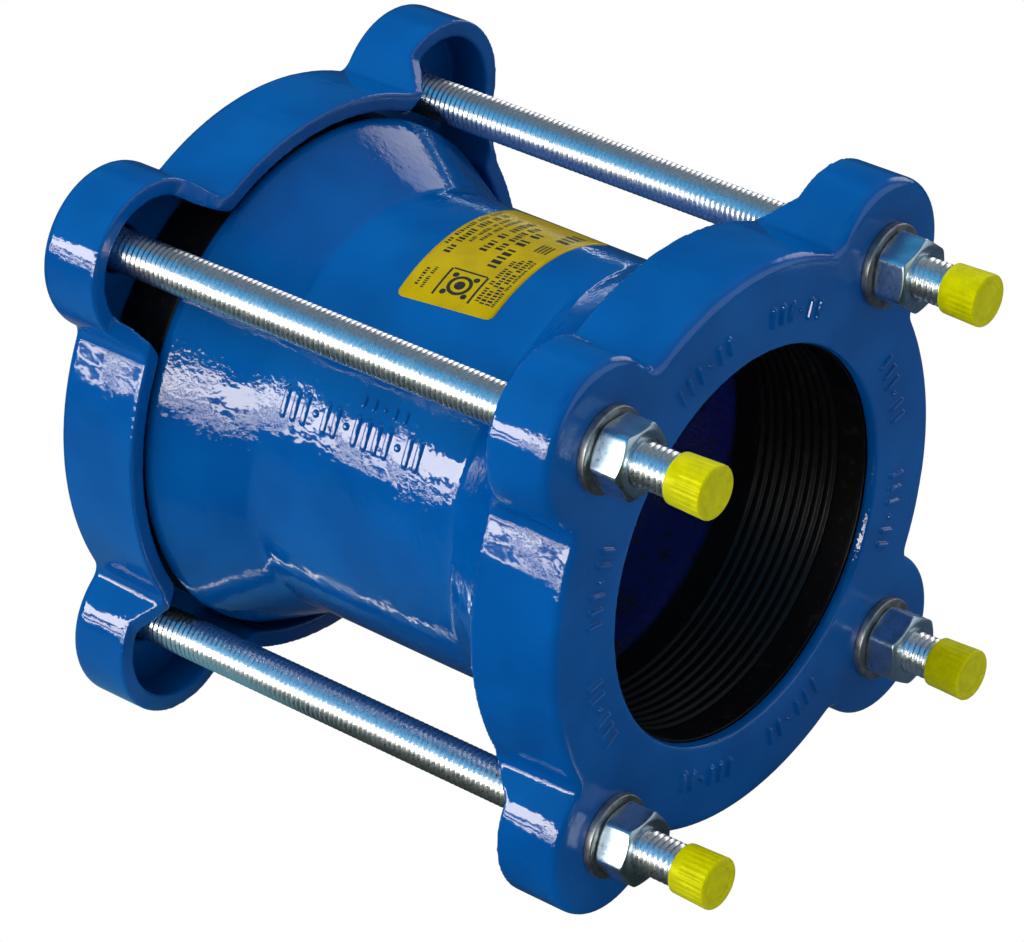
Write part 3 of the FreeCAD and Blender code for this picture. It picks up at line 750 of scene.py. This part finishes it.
# Print on the film: rows of ticks in word-like groups as (u, start, end, height, ticks of each
# group), rules and hatching as (u, v, width, length), and an end view of a coupling as the
# pictogram, its parts as shares of its size. Everything reads round the barrel.
ink = {
    "rows": [
        (-14.0, -5.0, 23.0, 1.3, (5, 4, 8, 3)), (-11.5, -8.5, 21.5, 2.1, (2, 2, 4, 6, 3)),
        (-8.8, -1.0, 18.5, 1.3, (6, 3, 7, 4)), (-6.6, 1.0, 20.5, 1.3, (8, 4, 5)),
        (-3.2, -3.5, 22.5, 2.4, (7, 2, 4)), (0.3, -1.0, 19.0, 2.2, (3, 5, 3)),
        (3.6, -9.5, 15.5, 3.0, (2, 2, 5)),
        (-9.9, -23.0, -14.5, 1.1, (4, 6)), (-12.0, -22.5, -15.5, 1.1, (7,)),
        (7.9, -22.5, -3.5, 1.3, (3, 5, 2, 6)), (9.7, -23.0, -2.0, 1.5, (4, 7, 5)),
        (11.6, -23.0, -1.0, 1.5, (6, 4, 7)), (13.2, -23.0, -1.5, 1.0, (5, 9, 4, 8)),
        (10.6, 13.5, 25.0, 4.4, (4,)),
    ],
    "heights": (0.8, 0.2), "widths": (0.56, 0.16),
    "rules": [(-5.6, -18.6, 0.7, 10.6), (5.9, -18.6, 0.7, 10.6), (0.15, -13.2, 10.8, 0.6)],
    "hatch": [(9.0 + 1.1 * k, 6.5, 0.55, 5.4) for k in range(4)],
    "sign": {"u": 0.15, "v": -18.8, "size": 4.7, "ring": (0.56, 0.78), "pipe": 0.34, "boltReach": 0.72,
             "bolt": 0.2},
}


def bar(u, v, width, length):
    s = np.linspace(-0.5, 0.5, 2)[:, None] * width
    t = np.linspace(-0.5, 0.5, 2 + int(length / 2))[None, :] * length
    return u + s + 0 * t, v + t + 0 * s


def ring(u, v, inner, outer, count):
    angle = np.linspace(0, 2 * math.pi, count + 1)[None, :]
    radius = np.array([[inner], [outer]])
    return u + radius * np.cos(angle), v + radius * np.sin(angle)


# Ticks from end to start. Each one's height and width vary a little by waves over its number.
def tickRow(u, start, end, height, words):
    least, more = ink["heights"]
    mean, spread = ink["widths"]
    pitch = (end - start) / (sum(words) + len(words) - 1)
    ticks = []
    place = end - pitch / 2
    for index, word in enumerate(words):
        for letter in range(word):
            share = least + more * abs(math.sin(3.7 * letter + 1.3 * index + u))
            width = pitch * (mean + spread * math.cos(2.9 * letter + u))
            ticks.append(bar(u + height * (1 - share) / 2, place, height * share, width))
            place -= pitch
        place -= pitch
    return ticks


def makeInk():
    shapes = []
    for row in ink["rows"]:
        shapes += tickRow(*row)
    shapes += [bar(*rule) for rule in ink["rules"] + ink["hatch"]]
    sign = ink["sign"]
    u, v, size = sign["u"], sign["v"], sign["size"]
    inner, outer = sign["ring"]
    shapes += [ring(u, v, size * inner, size * outer, 40), ring(u, v, pinhole, size * sign["pipe"], 40)]
    reach = size * sign["boltReach"]
    for across, up in corners.values():
        shapes.append(ring(u + across * reach, v + up * reach, pinhole, size * sign["bolt"], 20))
    points, faces, first = [], [], 0
    for u, v in shapes:
        spots = onBarrel(u, v, sticker["film"] + sticker["inkLift"])
        points.append(spots.reshape(-1, 3))
        faces.append(gridFaces(*u.shape) + first)
        first += u.size
    thing = meshObject("labelInk", np.concatenate(points), np.concatenate(faces))
    finishPiece(thing, materials["ink"], "coupling_body", ())


makeFilm()
makeInk()
print("label made")

# Soft lamps, a floor, and cards that only reflections see: a dark room and table with soft coloured
# patches. Directions are degrees of turn from -Y towards +X and of rise above the floor. A pane of
# the window is (rise, height, radiance), and a patch (turn, rise, half width, colour).
studio = {
    "lampDistance": 1600,
    "window": {"turn": -11.5, "width": 77, "tint": (1.0, 0.97, 0.86),
               "panes": [(14.4, 9.6, 15.5), (6.0, 2.4, 13.0), (1.4, 1.8, 12.0)]},
    "key": {"turn": -22, "rise": 44, "width": 60, "height": 50, "radiance": 2.75},
    "back": {"turn": 178, "rise": 38, "width": 60, "height": 50, "radiance": 1.1},
    "fill": 0.54,
    "floorReach": 6000,
    "domeRadius": 3000, "domeLow": -2.0, "domeRows": 24, "domeColumns": 73,
    "room": (0.012, 0.02, 0.03),
    "patches": [
        (-50, 34, 30, (0.05, 0.44, 0.82)), (-8, 40, 34, (0.04, 0.38, 0.76)),
        (42, 44, 36, (0.04, 0.32, 0.66)), (-98, 54, 40, (0.05, 0.32, 0.58)),
        (120, 13, 46, (0.74, 0.82, 0.88)),
        (146, 64, 44, (0.13, 0.15, 0.17)), (-150, 24, 30, (0.03, 0.11, 0.20)),
        (172, 32, 40, (0.13, 0.11, 0.10)), (184, 15, 21, (1.8, 1.75, 1.75)),
    ],
    "tableReach": 3000, "tableLift": 0.4,
    "table": (0.02, 0.03, 0.03),
    "tablePatches": [
        (140, -32, 40, (0.06, 0.085, 0.12)), (-42, -28, 27, (0.10, 0.25, 0.31)),
        (-100, -30, 30, (0.20, 0.19, 0.18)),
    ],
    "patchCore": 0.25,  # the share of a patch's 1 - cos(half width) that has its full colour
}


def outward(turn, rise, distance):
    a, e = math.radians(turn), math.radians(rise)
    return distance * np.array([math.sin(a) * math.cos(e), -math.cos(a) * math.cos(e), math.sin(e)])


# A frame at a place that looks to the target: its -Z points there, its Y is up, turned by roll.
def lookingIn(place, roll=0, target=(0, 0, 0)):
    back = np.asarray(place, float) - np.asarray(target, float)
    back = back / np.linalg.norm(back)
    right = np.cross([0, 0, 1], back)
    right = right / np.linalg.norm(right)
    up = np.cross(back, right)
    tilt = math.radians(roll)
    newRight = right * math.cos(tilt) + up * math.sin(tilt)
    newUp = up * math.cos(tilt) - right * math.sin(tilt)
    matrix = Matrix.Identity(4)
    for row in range(3):
        matrix[row][:] = [newRight[row], newUp[row], back[row], place[row]]
    return matrix


# A lamp that fills the plan's width and height in degrees with its radiance.
def makeLamp(name, plan):
    lamp = bpy.data.lights.new(name, "AREA")
    lamp.shape = "RECTANGLE"
    distance = studio["lampDistance"] * metre
    lamp.size = 2 * distance * math.tan(math.radians(plan["width"] / 2))
    lamp.size_y = 2 * distance * math.tan(math.radians(plan["height"] / 2))
    lamp.energy = plan["radiance"] * math.pi * lamp.size * lamp.size_y
    thing = bpy.data.objects.new(name, lamp)
    bpy.context.scene.collection.objects.link(thing)
    thing.matrix_world = lookingIn(outward(plan["turn"], plan["rise"], distance))
    thing.visible_camera = False
    return thing


# The window is seen by gloss alone, and the two soft lamps light the coupling but aren't mirrored.
def makeLights():
    window = studio["window"]
    for index, (rise, height, radiance) in enumerate(window["panes"]):
        plan = {"turn": window["turn"], "rise": rise, "width": window["width"], "height": height,
                "radiance": radiance}
        pane = makeLamp("windowGloss" + str(index), plan)
        pane.data.color = window["tint"]
        pane.visible_diffuse = False
    for name in ("key", "back"):
        soft = makeLamp(name + "Soft", studio[name])
        soft.visible_glossy = False


# 1 for rays from the camera, off gloss or through glass, and 0 for the light that falls on things.
def plainlySeen(tree):
    path = addNode(tree, "LightPath", {})
    seen = addNode(tree, "Math", {0: path.outputs["Is Camera Ray"], 1: path.outputs["Is Glossy Ray"]},
                   operation="MAXIMUM")
    seen = addNode(tree, "Math", {0: seen.outputs[0], 1: path.outputs["Is Transmission Ray"]},
                   operation="MAXIMUM")
    return seen.outputs[0]


def flatSquare(name, reach, height):
    points = np.array([[x, y, height] for x in (-reach, reach) for y in (-reach, reach)])
    return meshObject(name, points, gridFaces(2, 2))


# White paper: plain white to the camera, gloss and glass, and a matt white bounce for the rest.
def makeFloor():
    floor = flatSquare("studioFloor", studio["floorReach"], coupling["restHeight"])
    material, tree, shader = newMaterial("matt_white_paper")
    shader.inputs["Base Color"].default_value = linear("F4F4F4")
    shader.inputs["Roughness"].default_value = 0.9
    shader.inputs["Specular IOR Level"].default_value = 0.0
    glow = addNode(tree, "Emission", {"Color": linear("FFFFFF")})
    mix = addNode(tree, "MixShader", {0: plainlySeen(tree), 1: shader.outputs[0], 2: glow.outputs[0]})
    tree.links.new(mix.outputs[0], tree.nodes["Material Output"].inputs["Surface"])
    material.cycles.emission_sampling = "NONE"
    floor.data.materials.append(material)


# A card that glows as the brightest of its base colour and its soft patches, each fading as a smooth
# step of the angle between the patch's direction and the place on the card as seen from the object.
def addCard(thing, base, patches):
    material = bpy.data.materials.new(thing.name + "_cloth")
    tree = emptyTree(material)
    place = addNode(tree, "TexCoord", {})
    looking = addNode(tree, "VectorMath", {0: place.outputs["Object"]}, operation="NORMALIZE")
    total = addNode(tree, "CombineXYZ", dict(enumerate(base)))
    for turn, rise, halfWidth, colour in patches:
        towards = tuple(outward(turn, rise, 1.0))
        near = addNode(tree, "VectorMath", {0: looking.outputs[0], 1: towards}, operation="DOT_PRODUCT")
        edge = math.cos(math.radians(halfWidth))
        core = 1 - (1 - edge) * studio["patchCore"]
        share = addNode(tree, "MapRange", {"Value": near.outputs["Value"], "From Min": edge,
                                           "From Max": core}, interpolation_type="SMOOTHSTEP")
        lit = addNode(tree, "VectorMath", {0: colour, "Scale": share.outputs[0]}, operation="SCALE")
        total = addNode(tree, "VectorMath", {0: total.outputs[0], 1: lit.outputs[0]}, operation="MAXIMUM")
    glow = addNode(tree, "Emission", {"Color": total.outputs[0]})
    addNode(tree, "OutputMaterial", {"Surface": glow.outputs[0]})
    material.cycles.emission_sampling = "NONE"
    thing.data.materials.append(material)
    thing.visible_camera = False
    thing.visible_diffuse = False
    thing.visible_transmission = False
    thing.visible_shadow = False


# The room is a dome over the coupling, and the table a square just above the floor.
def makeCards():
    rows, columns, radius = studio["domeRows"], studio["domeColumns"], studio["domeRadius"]
    turns = np.radians(np.linspace(0, 360, columns))[None, :]
    rises = np.radians(np.linspace(studio["domeLow"], 90, rows))[:, None]
    points = np.stack([radius * np.sin(turns) * np.cos(rises), -radius * np.cos(turns) * np.cos(rises),
                       radius * np.sin(rises) + 0 * turns], -1)
    dome = meshObject("ceilingCard", points.reshape(-1, 3), gridFaces(rows, columns))
    addCard(dome, studio["room"], studio["patches"])
    table = flatSquare("tableCard", studio["tableReach"], coupling["restHeight"] + studio["tableLift"])
    addCard(table, studio["table"], studio["tablePatches"])


# The world is white where the camera, gloss or glass looks at it, and a plain fill for the rest.
def makeWorld():
    world = bpy.data.worlds.new("studioWorld")
    tree = emptyTree(world)
    level = addNode(tree, "MapRange", {"Value": plainlySeen(tree), "To Min": studio["fill"]})
    glow = addNode(tree, "Background", {"Color": linear("FFFFFF"), "Strength": level.outputs[0]})
    addNode(tree, "OutputWorld", {"Surface": glow.outputs[0]})
    bpy.context.scene.world = world


# The camera stands where the photograph was taken. Its target is in the row's frame.
view = {
    "turn": 40.63, "rise": 31.65, "roll": -1.47, "distance": 1173.0, "target": (73.75, -96.4, 70.9),
    "lens": 168.33, "sensor": 36.0, "farthest": 50000,
}


def makeCamera():
    data = bpy.data.cameras.new("photoCamera")
    data.lens = view["lens"]
    data.sensor_width = view["sensor"]
    data.clip_end = view["farthest"] * metre
    thing = bpy.data.objects.new("photoCamera", data)
    bpy.context.scene.collection.objects.link(thing)
    target = np.array(view["target"]) * metre
    place = target + outward(view["turn"], view["rise"], view["distance"] * metre)
    thing.matrix_world = lookingIn(place, view["roll"], target)
    bpy.context.scene.camera = thing


makeFloor()
makeCards()
makeWorld()
makeLights()
makeCamera()
bpy.context.scene.view_settings.view_transform = "Standard"
print("studio made")
